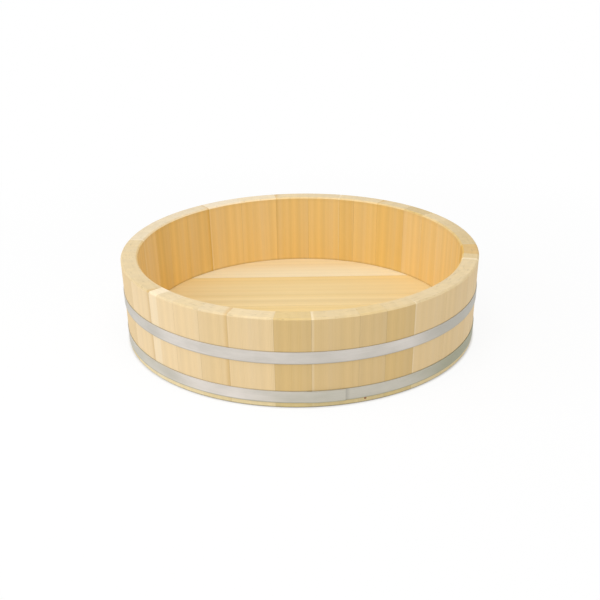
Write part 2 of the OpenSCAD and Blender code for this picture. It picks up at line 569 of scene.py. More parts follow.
@dataclass(frozen=True)
class BareWood:
    """Planed, unfinished pale wood whose rings and fibres follow the log that it was sawn from.

    Attributes:
        name: The material's name.
        early: Colour of the wide spring wood.
        late: Colour of the narrow summer wood.
        sap: Colour of the sapwood.
        heart: Colour of the heartwood.
        ring: Width of a year's ring, in metres.
        end: Colour of the end grain.
        foot: Colour of the foot outside.
        inside_bounce_light: Factor on lightness inside the tub, as painted bounce light.
        inside_bounce_strength: Factor on saturation inside the tub, as painted bounce light.
        chamfer_highlight: Factor on lightness along the rim's inner chamfer, a painted highlight.
        chamfer_highlight_strength: Factor on saturation in that painted highlight.
        ring_show: Share of the summer wood's colour that shows on side grain.
        end_ring_show: Share of it that shows on end grain.
        end_show: Share of the end grain's own colour.
        sap_show: Share of the sapwood's colour.
        heart_show: Share of the heartwood's colour.
        end_zone_show: Share of both of them on end grain.
        sap_soft: Half of the width over which the sapwood begins, in metres.
        heart_soft: Half of the width over which the heartwood ends, in metres.
        streaks: Reach of the lighter and darker streaks outside.
        inside_streaks: Reach of those streaks inside.
        corner_shade_strength: Factor on saturation at the foot of the inside, painted shade in the corner.
        corner_reach: Height over which that factor fades out, in metres.
        stain_and_shade_at: Heights of the hoop edges beside which a thin dark line lies outside, partly stain
            and partly painted shade.
        corner_at: Height of the inside corner, along which a thin line of painted shade lies.
        rim_at: Height of the rim, just under which the inside is a little darker with painted shade.
        foot_to: Height up to which the foot takes its own colour.
        foot_soft: Height over which that colour ends, in metres.
        foot_show: Share of that colour.
        hoop_line: The line beside a hoop's edge, partly stain and partly painted shade.
        foot_line: The line along the foot, partly grime and partly painted contact shadow.
        corner_line: The line of painted shade along the inside corner.
        rim_line: The line of painted shade inside, under the rim.
        joint_light: Factor on lightness in a joint.
        end_joint_show: Share of that darkening on end grain, where joints are tight.
        end_foot_show: Share of the foot's line on end grain.
        drift: How the rings waver.
        drift_reach: How far they waver, in metres.
        uneven: How the rings' width changes.
        uneven_reach: How far that moves a ring, in rings.
        summer: Shares of a ring where summer wood starts, is full and starts to end.
        bands: Streaks of lightness across the rings.
        hues: Streaks of saturation across the rings.
        fibres: The fine fibres.
        clouds: Broad lighter and darker places.
        mottle: Mottling of the end grain.
        mottle_reach: Reach of that mottling.
        flecks: Dark flecks on the end grain.
        fleck_from: Noise from which a fleck shows, and at which it is full.
        fleck_dark: How much darker a fleck is.
        soft_reach: Reach of the fibres and of the broad places.
        ring_relief: Height of summer wood, next to a fibre's.
        relief: Height of a fibre, in metres.
        relief_show: Share of the relief that shows.
        rough: Roughness of the surface.
        rough_reach: Reach of the roughness.
        gloss: How much the surface mirrors.
    """

    name: str
    early: Colour
    late: Colour
    sap: Colour
    heart: Colour
    ring: float
    end: Colour = (0.69, 0.565, 0.345, 1.0)
    foot: Colour = (0.83, 0.715, 0.42, 1.0)
    inside_bounce_light: float = 1.0
    inside_bounce_strength: float = 1.0
    chamfer_highlight: float = 1.11
    chamfer_highlight_strength: float = 1.18
    ring_show: float = 0.24
    end_ring_show: float = 0.18
    end_show: float = 0.6
    sap_show: float = 0.45
    heart_show: float = 0.6
    end_zone_show: float = 0.75
    sap_soft: float = 0.002
    heart_soft: float = 0.005
    streaks: float = 0.08
    inside_streaks: float = 0.13
    corner_shade_strength: float = 1.0
    corner_reach: float = 0.11
    stain_and_shade_at: tuple[float, ...] = ()
    corner_at: float = 0.0
    rim_at: float = 0.0
    foot_to: float = 0.0
    foot_soft: float = 0.002
    foot_show: float = 0.65
    hoop_line: Line = Line(0.0002, 0.0016, 0.34)
    foot_line: Line = Line(0.0008, 0.0034, 0.66)
    corner_line: Line = Line(0.0005, 0.0050, 0.20)
    rim_line: Line = Line(0.004, 0.014, 0.05)
    joint_light: float = 0.75
    end_joint_show: float = 0.3
    end_foot_show: float = 0.2
    drift: Clouds = Clouds((9.0, 9.0, 2.2))
    drift_reach: float = 0.004
    uneven: Waves = Waves(60.0, 1.0)
    uneven_reach: float = 1.2
    summer: tuple[float, float, float] = (0.35, 0.90, 0.93)
    bands: Waves = Waves(55.0, 4.0)
    hues: Waves = Waves(33.0, 3.0)
    fibres: Clouds = Clouds((1500.0, 1500.0, 22.0), 2.0, 0.6)
    clouds: Clouds = Clouds((10.0, 10.0, 4.0))
    mottle: Clouds = Clouds((42.0, 150.0, 12.0), 3.0)
    mottle_reach: float = 0.10
    flecks: Clouds = Clouds((70.0, 260.0, 12.0))
    fleck_from: tuple[float, float] = (0.60, 0.72)
    fleck_dark: float = 0.14
    soft_reach: float = 0.05
    ring_relief: float = 0.6
    relief: float = 0.00012
    relief_show: float = 0.35
    rough: float = 0.60
    rough_reach: float = 0.10
    gloss: float = 0.35

    def make(self) -> Material:
        """Build the material.

        Returns:
            The material, which reads the attributes that the staves and boards keep.
        """
        graph = Graph(bpy.data.materials.new(self.name))
        grain = graph.kept("grain", "Vector")
        end = graph.kept("end")
        inside = graph.kept("inside")
        edge = graph.kept("edge")
        height = graph.towards(graph.place(), UP)
        drift = graph.spread(graph.noise(grain, self.drift), self.drift_reach)
        radius = graph.math("ADD", graph.length(graph.scaled(grain, (1.0, 1.0, 0.0))), drift)
        late = self.summer_wood(graph, radius)
        fibres = graph.noise(grain, self.fibres)
        reach = graph.between(inside, self.streaks, self.inside_streaks)
        ring_show = graph.between(end, self.ring_show, self.end_ring_show)
        colour = graph.mix(graph.product(late, ring_show), self.early, self.late)
        colour = graph.mix(graph.product(end, self.end_show), colour, self.end)
        colour = self.log_zones(graph, colour, radius, end)
        # Below the lower hoop the wood turns yellower and lighter.
        foot_tint = graph.step(height, self.foot_to - self.foot_soft, self.foot_to, self.foot_show, 0.0)
        colour = graph.mix(foot_tint, colour, self.foot)
        # Painted light in the lightness: more light inside the tub as painted bounce light, a painted
        # highlight on the rim's chamfers, and thin lines of painted shade from seam_shade.
        light = graph.product(
            graph.kept("light"),
            graph.between(inside, 1.0, self.inside_bounce_light),
            graph.between(edge, 1.0, self.chamfer_highlight),
            graph.swayed(graph.noise_along(radius, self.bands), reach),
            graph.swayed(graph.noise(grain, self.mottle), graph.product(end, self.mottle_reach)),
            graph.math("MULTIPLY_ADD", self.fleck_shade(graph, grain), end, 1.0),
            graph.spread(fibres, self.soft_reach, 1.0),
            graph.spread(graph.noise(grain, self.clouds), self.soft_reach, 1.0),
            self.seam_shade(graph, inside, end, height),
        )
        # Painted shade makes the colour richer towards the inside corner; below, richer colour inside is
        # painted bounce light and richer colour on the chamfers is part of their painted highlight.
        top = self.corner_at + self.corner_reach
        painted_corner_shade = graph.step(height, self.corner_at, top, self.corner_shade_strength - 1.0, 0.0)
        strength = graph.product(
            graph.kept("strength"),
            graph.between(inside, 1.0, self.inside_bounce_strength),
            graph.math("MULTIPLY_ADD", inside, painted_corner_shade, 1.0),
            graph.between(edge, 1.0, self.chamfer_highlight_strength),
            graph.swayed(graph.noise_along(radius, self.hues), reach),
        )
        heights = graph.math("MULTIPLY_ADD", late, self.ring_relief, fibres)
        return graph.surface(
            Base_Color=graph.toned(colour, light, strength),
            Roughness=graph.spread(fibres, self.rough_reach, self.rough),
            Specular_IOR_Level=self.gloss,
            Normal=graph.bump(heights, self.relief, self.relief_show),
        )

    def fleck_shade(self, graph: Graph, grain: Socket) -> Socket:
        """Find how much darker the flecks of the end grain are, below zero."""
        return graph.step(graph.noise(grain, self.flecks), *self.fleck_from, 0.0, -self.fleck_dark)

    def summer_wood(self, graph: Graph, radius: Socket) -> Socket:
        """Mark the narrow dark end of each year's ring.

        Args:
            graph: The material's nodes.
            radius: Distance from the pith of the log.

        Returns:
            The socket with 1 in summer wood and 0 in spring wood.
        """
        starts, full, ends = self.summer
        moved = graph.spread(graph.noise_along(radius, self.uneven), self.uneven_reach)
        years = graph.math("ADD", graph.math("DIVIDE", radius, self.ring), moved)
        season = graph.math("FRACT", years)
        return graph.product(graph.step(season, starts, full), graph.step(season, ends, 1.0, 1.0, 0.0))

    def log_zones(self, graph: Graph, colour: Socket, radius: Socket, end: Socket) -> Socket:
        """Lay heartwood near the pith and sapwood near the bark, plainest on end grain.

        Args:
            graph: The material's nodes.
            colour: The plain wood's colour.
            radius: Distance from the pith of the log.
            end: 1 on end grain.

        Returns:
            The socket with the colour.
        """
        past_sap = graph.math("SUBTRACT", radius, graph.kept("sap_from"))
        before_heart = graph.math("SUBTRACT", graph.kept("heart_to"), radius)
        zones = (
            (past_sap, self.sap_soft, self.sap_show, self.sap),
            (before_heart, self.heart_soft, self.heart_show, self.heart),
        )
        for depth, soft, show, zone_colour in zones:
            shown = graph.between(end, show, self.end_zone_show)
            colour = graph.mix(graph.product(graph.step(depth, -soft, soft), shown), colour, zone_colour)
        return colour

    def seam_shade(self, graph: Graph, inside: Socket, end: Socket, height: Socket) -> Socket:
        """Darken the joints, and paint thin lines of shade beside the hoops' edges, along the foot and inside
        under the rim and in the corner; the lines outside are partly stain and grime.

        Args:
            graph: The material's nodes.
            inside: 1 on the inside of the tub.
            end: 1 on end grain.
            height: Height above the foot.

        Returns:
            The socket with a factor on lightness.
        """
        open_joint = graph.product(graph.kept("joint"), graph.between(end, 1.0, self.end_joint_show))
        shade = graph.step(open_joint, 0.0, 1.0, 1.0, self.joint_light)
        if not self.stain_and_shade_at:
            return shade
        # Painted shade: thin dark lines beside the hoops' edges and along the foot, which are partly stain
        # and grime, and inside under the rim and along the corner.
        hoop_line = graph.beside(height, self.stain_and_shade_at, self.hoop_line)
        foot_line = graph.beside(height, (0.0,), self.foot_line)
        foot_line = graph.product(foot_line, graph.between(end, 1.0, self.end_foot_show))
        corner_line = graph.beside(height, (self.corner_at,), self.corner_line)
        rim_line = graph.beside(height, (self.rim_at,), self.rim_line)
        outer = graph.product(graph.math("MAXIMUM", hoop_line, foot_line), graph.between(inside, 1.0, 0.0))
        inner = graph.product(graph.math("MAXIMUM", corner_line, rim_line), inside)
        return graph.product(shade, graph.between(graph.math("ADD", outer, inner), 1.0, 0.0))


@dataclass(frozen=True)
class BrushedSteel:
    """Dull steel strip, brushed along its length, greyer on some sides and along its lower edges with painted
    shade, dark at its edges and lap.

    Attributes:
        name: The material's name.
        shaded_sides: Direction in degrees of each side greyed by painted shade, and how grey it is.
        edges: Heights of the hoops' edges.
        low_edges: Heights of the hoops' lower edges, which take a line of painted shade.
        lap_end: Direction of the hoop's outer end.
        bright: Colour of the bare metal.
        dull: Colour of its darker streaks.
        side_shade: Colour of the painted shade on its greyer sides and lower edges.
        side_shade_from: Distance towards that side where the painted shade starts, in metres.
        side_shade_to: Distance where it is full, in metres.
        edge_dulling: Dulling beside an edge.
        low_edge_shade: Painted shade beside a lower edge.
        lap_line: Shade beside the outer end.
        lap_soft: Width over which that shade starts, in metres.
        streaks: The brushing.
        streak_share: Share of the brushing in the dulling.
        clouds: Broad duller places.
        cloud_share: Share of them in the dulling.
        dull_from: Dulling from which the darker colour shows, and at which it is full.
        metallic: Share of bare metal.
        rough: Roughness where it is least.
        rough_more: How much rougher the dullest places are.
        brushed: How far the brushing stretches what is mirrored.
        relief: Height of the brushing, in metres.
        relief_show: Share of the relief that shows.
    """

    name: str
    shaded_sides: tuple[tuple[float, float], ...]
    edges: tuple[float, ...]
    low_edges: tuple[float, ...]
    lap_end: float
    bright: Colour = (0.80, 0.745, 0.70, 1.0)
    dull: Colour = (0.59, 0.555, 0.50, 1.0)
    side_shade: Colour = (0.40, 0.39, 0.33, 1.0)
    side_shade_from: float = 0.285
    side_shade_to: float = 0.36
    edge_dulling: Line = Line(0.0004, 0.0014, 0.55)
    low_edge_shade: Line = Line(0.0006, 0.0024, 0.58)
    lap_line: Line = Line(0.0, 0.010, 0.20)
    lap_soft: float = 0.0006
    streaks: Clouds = Clouds((6.0, 6.0, 1400.0), 3.0, 0.6)
    streak_share: float = 0.35
    clouds: Clouds = Clouds((14.0, 14.0, 40.0), 3.0)
    cloud_share: float = 0.55
    dull_from: tuple[float, float] = (0.25, 0.70)
    metallic: float = 0.3
    rough: float = 0.30
    rough_more: float = 0.20
    brushed: float = 0.45
    relief: float = 0.00004
    relief_show: float = 0.25

    def make(self) -> Material:
        """Build the material.

        Returns:
            The material.
        """
        graph = Graph(bpy.data.materials.new(self.name))
        place = graph.place()
        height = graph.towards(place, UP)
        streaks = graph.noise(place, self.streaks)
        clouds = graph.noise(place, self.clouds)
        clouded = graph.product(clouds, self.cloud_share)
        dulled = graph.math("MULTIPLY_ADD", streaks, self.streak_share, clouded)
        edge_dulled = graph.beside(height, self.edges, self.edge_dulling)
        dulled = graph.math("MAXIMUM", graph.step(dulled, *self.dull_from), edge_dulled)
        colour = graph.mix(dulled, self.bright, self.dull)
        # Painted shade: some sides of the hoop, most of all the right, are mixed towards a grey.
        for direction, share in self.shaded_sides:
            towards_side = graph.towards(place, facing(math.radians(direction)))
            side_shaded = graph.step(towards_side, self.side_shade_from, self.side_shade_to, 0.0, share)
            colour = graph.mix(side_shaded, colour, self.side_shade)
        # Painted shade along the lower edges, in the same grey.
        colour = graph.mix(graph.beside(height, self.low_edges, self.low_edge_shade), colour, self.side_shade)
        round_tub = graph.node("ShaderNodeTangent", {}, direction_type="RADIAL", axis="Z")
        return graph.surface(
            Base_Color=graph.toned(colour, self.lap_shade(graph, place), 1.0),
            Metallic=self.metallic,
            Roughness=graph.between(clouds, self.rough, self.rough + self.rough_more),
            Anisotropic=self.brushed,
            Tangent=round_tub.outputs[0],
            Normal=graph.bump(streaks, self.relief, self.relief_show),
        )

    def lap_shade(self, graph: Graph, place: Socket) -> Socket:
        """Darken a thin line beside the hoop's outer end.

        Args:
            graph: The material's nodes.
            place: Where the surface is.

        Returns:
            The socket with a factor on lightness.
        """
        outward = facing(self.lap_end)
        past = graph.towards(place, UP.cross(outward))
        fade = graph.step(past, self.lap_line.full, self.lap_line.gone, self.lap_line.show, 0.0)
        on_side = graph.math("GREATER_THAN", graph.towards(place, outward), 0.0)
        line = graph.product(fade, graph.step(past, -self.lap_soft, 0.0), on_side)
        return graph.between(line, 1.0, 0.0)


@dataclass(frozen=True)
class TwoToned:
    """A finish that wavers between two colours, such as bamboo's fibres or brass with a dark patina.

    Attributes:
        name: The material's name.
        ground: The main colour.
        spots: Colour of the fibres or of the rubbed spots.
        clouds: Noise that these follow.
        spots_from: Noise from which they show, and at which they are full.
        metallic: Share of bare metal.
        rough: Roughness of the surface.
        rough_reach: Reach of the roughness.
        relief: Height of a fibre or spot, in metres.
        relief_show: Share of the relief that shows.
    """

    name: str
    ground: Colour
    spots: Colour
    clouds: Clouds
    spots_from: tuple[float, float]
    metallic: float = 0.0
    rough: float = 0.50
    rough_reach: float = 0.10
    relief: float = 0.0001
    relief_show: float = 0.4

    def make(self) -> Material:
        """Build the material.

        Returns:
            The material.
        """
        graph = Graph(bpy.data.materials.new(self.name))
        noise = graph.noise(graph.place(), self.clouds)
        return graph.surface(
            Base_Color=graph.mix(graph.step(noise, *self.spots_from), self.ground, self.spots),
            Metallic=self.metallic,
            Roughness=graph.spread(noise, self.rough_reach, self.rough),
            Normal=graph.bump(noise, self.relief, self.relief_show),
        )


BAMBOO = TwoToned(
    name="bamboo",
    ground=(0.62, 0.48, 0.22, 1.0),
    spots=(0.42, 0.29, 0.11, 1.0),
    clouds=Clouds((700.0, 700.0, 1600.0), 3.0),
    spots_from=(0.35, 0.70),
)

TARNISHED_BRASS = TwoToned(
    name="tarnished_brass",
    ground=(0.30, 0.14, 0.075, 1.0),
    spots=(0.50, 0.28, 0.13, 1.0),
    clouds=Clouds((900.0, 900.0, 900.0), 3.0),
    spots_from=(0.45, 0.75),
    metallic=0.8,
    rough_reach=0.15,
)


# Wood as it comes from the log

class Tone(Enum):
    """Lightness and strength of colour of a stave or board, next to a plain one."""

    # The lightest tones that are also much less saturated paint light falling on the back of the rim.
    CHALKY = (1.13, 0.70)
    SUNLIT = (1.13, 0.82)
    BRIGHT = (1.07, 0.97)
    BLEACHED = (1.06, 0.80)
    WHITE = (1.03, 0.94)
    PALE = (1.015, 0.97)
    WASHED = (1.01, 0.86)
    PLAIN = (1.0, 1.0)
    FAIR = (1.0, 1.05)
    GOLDEN = (0.98, 1.14)
    BUTTERY = (0.98, 1.22)
    WARM = (0.97, 1.03)
    RICH = (0.955, 1.07)
    TAN = (0.93, 1.05)
    HONEY = (0.88, 1.12)
    AMBER = (0.86, 1.18)
    UMBER = (0.85, 1.11)


@dataclass(frozen=True)
class Sawn:
    """How one stave or board was sawn from its log.

    Attributes:
        pith_across: Way from its middle to the pith along its width, in metres.
        pith_deep: Way from its middle to the pith through its thickness, in metres.
        start: How far along the log it begins, in metres.
        tone: Its tone.
        sap_edge: Width of sapwood along the edge furthest from the pith.
        heart_edge: Width of heartwood along the edge nearest the pith.
        end_tone: Tone of its end grain.
        out_of_reach: A distance from the pith that no wood has, in metres.
    """

    pith_across: float
    pith_deep: float
    start: float
    tone: Tone = Tone.PLAIN
    sap_edge: float = 0.0
    heart_edge: float = 0.0
    end_tone: Tone = Tone.PLAIN
    out_of_reach: float = 10.0

    def mark(
        self,
        piece: Piece,
        middle: Vector,
        axes: tuple[Vector, Vector, Vector],
        half: float,
        on_end: np.ndarray,
    ) -> None:
        """Write on a mesh where each point lay in the log, and the piece's tones.

        Args:
            piece: The stave or board.
            middle: Its middle.
            axes: Directions across it, through its thickness and along its grain.
            half: Half of its width, in metres.
            on_end: For each point, whether it lies on end grain.
        """
        away = points_of(piece) - np.array(middle)
        along_axes = away @ np.array(axes).T
        write_on(piece, "grain", along_axes - np.array((self.pith_across, self.pith_deep, -self.start)))
        count = len(away)
        far_edge = math.hypot(abs(self.pith_across) + half, self.pith_deep)
        near_edge = math.hypot(abs(self.pith_across) - half, self.pith_deep)
        sap_from = far_edge - self.sap_edge if self.sap_edge else self.out_of_reach
        heart_to = near_edge + self.heart_edge if self.heart_edge else -self.out_of_reach
        for name, own, on_ends in zip(("light", "strength"), self.tone.value, self.end_tone.value):
            write_on(piece, name, np.where(on_end, on_ends, own))
        write_on(piece, "end", on_end.astype(float))
        write_on(piece, "sap_from", np.full(count, sap_from))
        write_on(piece, "heart_to", np.full(count, heart_to))


# The tub's own pieces

@dataclass
class Wall:
    """The ring of staves.

    Attributes:
        height: Height from the foot to the rim.
        rim_radius: Outside radius at the rim.
        taper: How much narrower the foot is, on the radius.
        thickness: Thickness of the wall.
        rim_chamfer: Chamfer along both edges of the rim.
        foot_chamfer: Chamfer round the outside of the foot.
        outer_highlight_share: Share of the painted highlight on the rim's outer chamfer, next to its inner
            one.
        groove_low: Height of the lower side of the groove.
        groove_high: Height of the upper side of the groove.
        groove_radius: Radius of the groove's floor.
        eased: Rounding of every edge.
        turn_step: Angle of one step round the tub.
        least_steps: Fewest steps across a stave.
        peg_hole: Diameter of a peg's hole.
        peg_reach: Length of a peg's hole.
        low_peg: Height of the lower peg in each joint.
        high_peg: Height of the upper peg in each joint.
        peg_stagger: How much higher the pegs sit in every second joint.
        lots: First number of the lots by which staves out of sight are chosen.
        lot_across: Least and greatest way to the pith along the width of such a stave.
        lot_deep: Greatest way to its pith through its thickness.
        lot_start: Greatest way along the log to its beginning.
    """

    height: float = 0.175
    rim_radius: float = 0.360
    taper: float = 0.005
    thickness: float = 0.033
    rim_chamfer: float = 0.003
    foot_chamfer: float = 0.002
    outer_highlight_share: float = 0.2
    groove_low: float = 0.006
    groove_high: float = 0.0222
    groove_radius: float = 0.32817
    eased: float = 0.0003
    turn_step: float = math.radians(1.5)
    least_steps: int = 4
    peg_hole: float = 0.0061
    peg_reach: float = 0.031
    low_peg: float = 0.050
    high_peg: float = 0.130
    peg_stagger: float = 0.012
    lots: int = 100
    lot_across: tuple[float, float] = (0.10, 0.20)
    lot_deep: float = 0.05
    lot_start: float = 5.0

    def outside(self, height: Number) -> Number:
        """Give the outside radius at a height."""
        return self.rim_radius - self.taper * (1.0 - height / self.height)

    def stave_nodes(self) -> list[str]:
        """List the staves' solids in order round the tub."""
        return sorted(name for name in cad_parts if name.startswith("stave_") and name[-1].isdigit())

    def joints_of(self, node: str) -> tuple[float, float]:
        """Read the directions of a stave's two joints from its solid.

        Args:
            node: Name of the stave's solid.

        Returns:
            The angle where it starts and the angle where it ends, in radians.
        """
        points = points_of(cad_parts[node])
        middle = points.mean(axis=0)
        direction = math.atan2(middle[1], middle[0])
        turns = half_turn(np.arctan2(points[:, 1], points[:, 0]) - direction)
        return direction + float(turns.min()), direction + float(turns.max())

    def shape_section(self) -> Piece:
        """Shape the upright slice that every stave is spun from.

        Returns:
            The slice, flat, over the X axis.
        """
        section = lay_out(
            bpy.ops.mesh.primitive_plane_add,
            size=1.0,
            location=(self.outside(0.0) - self.thickness / 2.0, 0.0, self.height / 2.0),
            rotation=(math.pi / 2.0, 0.0, 0.0),
        )
        section.scale = (self.thickness, self.height, 1.0)
        set_place(section)
        open_mesh(section)
        pick(section, Element.POINT, lambda place: place.z > self.height / 2.0)
        bpy.ops.transform.translate(value=(self.taper, 0.0, 0.0))
        for level in (self.groove_low, self.groove_high):
            bpy.ops.mesh.select_all(action="SELECT")
            bpy.ops.mesh.bisect(plane_co=(0.0, 0.0, level), plane_no=UP)
        pick(section, Element.FACE, lambda place: self.groove_low < place.z < self.groove_high)
        bpy.ops.mesh.bisect(plane_co=(self.groove_radius, 0.0, 0.0), plane_no=ACROSS)
        pick(
            section,
            Element.FACE,
            lambda place: self.groove_low < place.z < self.groove_high and place.x < self.groove_radius,
        )
        bpy.ops.mesh.delete(type="FACE")
        pick(section, Element.POINT, lambda place: place.z > self.height - self.rim_chamfer)
        bpy.ops.mesh.bevel(offset=self.rim_chamfer, segments=1, affect="VERTICES")
        pick(
            section,
            Element.POINT,
            lambda place: place.z < self.foot_chamfer and place.x > self.groove_radius,
        )
        bpy.ops.mesh.bevel(offset=self.foot_chamfer, segments=1, affect="VERTICES")
        close_mesh()
        return section

    def spin_stave(self, section: Piece, name: str, start: float, end: float) -> Piece:
        """Spin a copy of the slice into one stave.

        Args:
            section: The slice.
            name: Name of the stave.
            start: Angle of its first joint.
            end: Angle of its second joint.

        Returns:
            The stave, its edges eased.
        """
        stave = copy_of(section, name)
        open_mesh(stave)
        steps = max(self.least_steps, round((end - start) / self.turn_step))
        bpy.ops.mesh.spin(steps=steps, angle=start - end, center=MIDDLE, axis=UP)
        close_up()
        stave.rotation_euler.z = start
        set_place(stave)
        ease_edges(stave, self.eased)
        return stave

    def peg_holes(self, number: int, angle: float) -> list[Hole]:
        """Place the holes for the two pegs of one joint.

        Args:
            number: Number of the joint, from 0.
            angle: Direction of the joint.

        Returns:
            The holes.
        """
        holes = []
        outward = facing(angle)
        for level in (self.low_peg, self.high_peg):
            height = level + self.peg_stagger * (number % 2)
            middle = outward * (self.outside(height) - self.thickness / 2.0) + UP * height
            holes.append(Hole(middle, UP.cross(outward), self.peg_hole, self.peg_reach))
        return holes

    def sawn(self, number: int) -> Sawn:
        """Choose how one stave was sawn: most as they are seen, the others drawn by lot.

        Args:
            number: Number of the stave, from 1.

        Returns:
            The way that it was sawn.
        """
        lot = random.Random(self.lots + number)
        side = lot.choice((-1.0, 1.0))
        across = side * lot.uniform(*self.lot_across)
        deep = lot.uniform(-self.lot_deep, self.lot_deep)
        start = lot.uniform(0.0, self.lot_start)
        tone = lot.choice((Tone.PALE, Tone.PLAIN, Tone.PLAIN, Tone.WARM))
        seen = {
            1: Sawn(0.150, 0.02, start, Tone.WHITE, sap_edge=0.024, end_tone=Tone.WHITE),
            2: Sawn(0.130, 0.03, start, Tone.PALE),
            3: Sawn(0.140, -0.02, start, Tone.WARM, heart_edge=0.008, end_tone=Tone.WHITE),
            4: Sawn(0.170, 0.01, start, Tone.PLAIN, end_tone=Tone.BRIGHT),
            5: Sawn(0.125, -0.01, start, Tone.AMBER, end_tone=Tone.BUTTERY),
            6: Sawn(0.160, 0.02, start, Tone.HONEY, sap_edge=0.006, end_tone=Tone.FAIR),
            7: Sawn(0.130, 0.03, start, Tone.UMBER, end_tone=Tone.GOLDEN),
            8: Sawn(0.120, 0.02, start, Tone.AMBER, end_tone=Tone.FAIR),
            9: Sawn(0.180, -0.02, start, Tone.WARM, sap_edge=0.002),
            10: Sawn(-0.160, 0.03, start, Tone.WARM),
            11: Sawn(-0.150, 0.02, start, Tone.PLAIN, sap_edge=0.009),
            12: Sawn(0.170, 0.02, start, Tone.PLAIN, heart_edge=0.057, end_tone=Tone.RICH),
            13: Sawn(-0.140, 0.03, start, Tone.PLAIN, end_tone=Tone.HONEY),
            14: Sawn(-0.140, 0.02, start, Tone.PALE, end_tone=Tone.TAN),
            15: Sawn(0.160, 0.03, start, Tone.PLAIN),
            16: Sawn(0.130, -0.03, start, Tone.PALE, end_tone=Tone.HONEY),
            17: Sawn(0.150, 0.03, start, Tone.RICH, heart_edge=0.010),
            18: Sawn(0.110, -0.02, start, Tone.WARM, end_tone=Tone.WHITE),
            19: Sawn(-0.120, 0.02, start, Tone.TAN, end_tone=Tone.BRIGHT),
            20: Sawn(0.150, -0.01, start, Tone.WARM, sap_edge=0.006, end_tone=Tone.WHITE),
            21: Sawn(0.130, 0.02, start, Tone.WARM, heart_edge=0.010, end_tone=Tone.BRIGHT),
            # The end tones of staves 22 to 27 paint light falling on the back of the rim.
            22: Sawn(-0.170, 0.03, start, Tone.PLAIN, end_tone=Tone.SUNLIT),
            23: Sawn(-0.140, 0.04, start, Tone.PLAIN, sap_edge=0.002, end_tone=Tone.CHALKY),
            24: Sawn(-0.150, -0.02, start, Tone.WARM, heart_edge=0.008, end_tone=Tone.BLEACHED),
            25: Sawn(0.150, 0.02, start, Tone.FAIR, end_tone=Tone.BLEACHED),
            26: Sawn(0.140, 0.03, start, Tone.RICH, end_tone=Tone.BLEACHED),
            27: Sawn(-0.160, 0.02, start, Tone.PALE, sap_edge=0.005, end_tone=Tone.BLEACHED),
            31: Sawn(0.140, 0.02, start, Tone.WHITE, heart_edge=0.006, end_tone=Tone.WARM),
        }
        return seen.get(number, Sawn(across, deep, start, tone))

    def on_end(self, stave: Piece) -> np.ndarray:
        """Find the points of a stave that lie on its ends, the rim's chamfers among them."""
        height = points_of(stave)[:, 2]
        return (height > self.height - self.rim_chamfer + self.eased / 2.0) | (height < self.eased / 2.0)

    def mark_faces(self, stave: Piece, start: float, end: float) -> None:
        """Write on a stave which points lie on chamfers and how much painted highlight they take, which lie
        inside the tub and which in joints.

        Args:
            stave: The stave.
            start: Angle of its first joint.
            end: Angle of its second joint.
        """
        points = points_of(stave)
        radius = np.hypot(points[:, 0], points[:, 1])
        height = points[:, 2]
        inner = self.outside(height) - self.thickness
        turn = half_turn(np.arctan2(points[:, 1], points[:, 0]) - (start + end) / 2.0)
        joint_gap = ((end - start) / 2.0 - np.abs(turn)) * radius
        chamfer_foot = self.height - self.rim_chamfer + HAIR / 2.0
        on_chamfer = (height > chamfer_foot) & (height < self.height - HAIR)
        # The chamfers take a painted highlight: fully on the inner one, a share on the outer one.
        highlight_share = np.where(radius < inner + self.thickness / 2.0, 1.0, self.outer_highlight_share)
        write_on(stave, "edge", on_chamfer * highlight_share)
        write_on(stave, "inside", (radius < inner + HAIR).astype(float))
        write_on(stave, "joint", (joint_gap < HAIR).astype(float))

    def build(self, finish: Material, nails: "HoopNails") -> None:
        """Make every stave and hand it over.

        Args:
            finish: The staves' wood.
            nails: The nails that are driven into some of them.
        """
        section = self.shape_section()
        nodes = self.stave_nodes()
        for number, node in enumerate(nodes, start=1):
            start, end = self.joints_of(node)
            stave = self.spin_stave(section, f"{node}_wood", start, end)
            holes = self.peg_holes(number - 1, start) + self.peg_holes(number % len(nodes), end)
            drill(stave, holes + nails.holes_between(start, end))
            smooth(stave)
            outward = facing((start + end) / 2.0)
            centre = outward * (self.rim_radius - self.thickness / 2.0)
            half = (end - start) / 2.0 * self.rim_radius
            across = UP.cross(outward)
            self.sawn(number).mark(stave, centre, (across, outward, UP), half, self.on_end(stave))
            self.mark_faces(stave, start, end)
            hand_over(stave, "stave_wood", finish, node)
        bpy.data.objects.remove(section)


